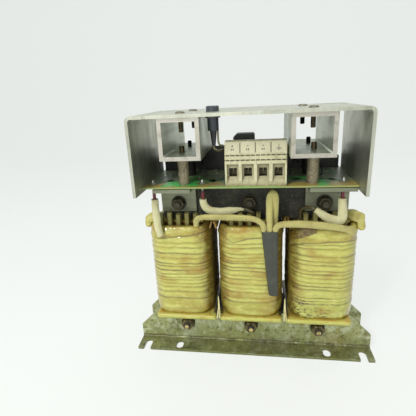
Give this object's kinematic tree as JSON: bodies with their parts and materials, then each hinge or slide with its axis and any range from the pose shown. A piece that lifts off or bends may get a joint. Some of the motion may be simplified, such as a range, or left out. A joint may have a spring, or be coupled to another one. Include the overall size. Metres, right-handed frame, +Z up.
{
  "type": "multi-tap transformer",
  "caption": "Open-frame power transformer with taped coils on slotted foot angles, topped by a covered rectifier deck with a terminal block and a fuse holder.",
  "frame": {"origin": "on the floor plane under the feet, at the middle of the outline of the whole transformer", "axes": "+Z up, +X to the right seen from the terminal block side, +Y from the terminal block side to the tap strip at the back"},
  "size_m": [0.285, 0.126, 0.2934],
  "materials": {
    "core_steel": "matte, lightly rusted",
    "zinc_steel": "olive zinc, worn and spotted",
    "former_board": "satin",
    "winding_copper": "varnished",
    "tape": "varnished glass tape",
    "duct_stick": "satin",
    "aluminium": "mill finish, scuffed",
    "dark_steel": "oxidised",
    "brassy_steel": "yellow passivated",
    "board_green": "solder mask",
    "fibre": "matte",
    "standoff_steel": "dull",
    "black_plastic": "satin",
    "black_rubber": "matte",
    "beige_plastic": "satin",
    "tinned": "bright",
    "white_sleeve": "glass sleeve",
    "cream_sleeve": "varnished glass sleeve",
    "shrink_grey": "satin",
    "red_insulation": "satin",
    "wire_olive": "satin",
    "fuse_glass": "clear"
  },
  "bodies": {
    "root": {"core_limbs": "core_steel", "core_yoke": "core_steel", "base_angle_front": "zinc_steel", "base_angle_rear": "zinc_steel", "former_left": "former_board", "former_mid": "former_board", "former_right": "former_board", "inner_winding_left": "winding_copper", "inner_winding_mid": "winding_copper", "inner_winding_right": "winding_copper", "duct_sticks_left": "duct_stick", "duct_sticks_mid": "duct_stick", "duct_sticks_right": "duct_stick", "outer_winding_left": "tape", "outer_winding_mid": "tape", "outer_winding_right": "tape", "upper_angle_front_left": "aluminium", "upper_angle_front_right": "aluminium", "upper_angle_rear_left": "aluminium", "upper_angle_rear_right": "aluminium", "core_bolts": "dark_steel", "core_nuts": "brassy_steel", "core_washers": "dark_steel", "circuit_board": "board_green", "fibre_washers": "fibre", "standoffs": "standoff_steel", "standoff_studs": "standoff_steel", "top_bracket": "aluminium", "box_tube_left": "aluminium", "box_tube_right": "aluminium", "tube_screws": "dark_steel", "fuse_holder_body": "black_plastic", "fuse_cap": "black_plastic", "fuse_nut": "black_plastic", "fuse_boot": "black_rubber", "fuse_link": "fuse_glass", "terminal_housing": "beige_plastic", "terminal_cages": "tinned", "terminal_screws": "tinned", "terminal_pins": "tinned", "rectifier_block": "black_plastic", "tap_strip_body": "black_plastic", "tap_strip_plates": "brassy_steel", "tap_strip_screws": "tinned", "lead_ends": "tinned", "lead_cores": "red_insulation", "lead_left": "white_sleeve", "lead_mid": "white_sleeve", "lead_right": "white_sleeve", "star_lead_left": "cream_sleeve", "star_lead_mid": "cream_sleeve", "star_lead_right": "cream_sleeve", "star_joint_sleeve": "shrink_grey", "fuse_leads": "wire_olive", "board_wires": "black_rubber", "tap_leads": "black_rubber", "tape_knots": "tape"}
  },
  "joints": []
}
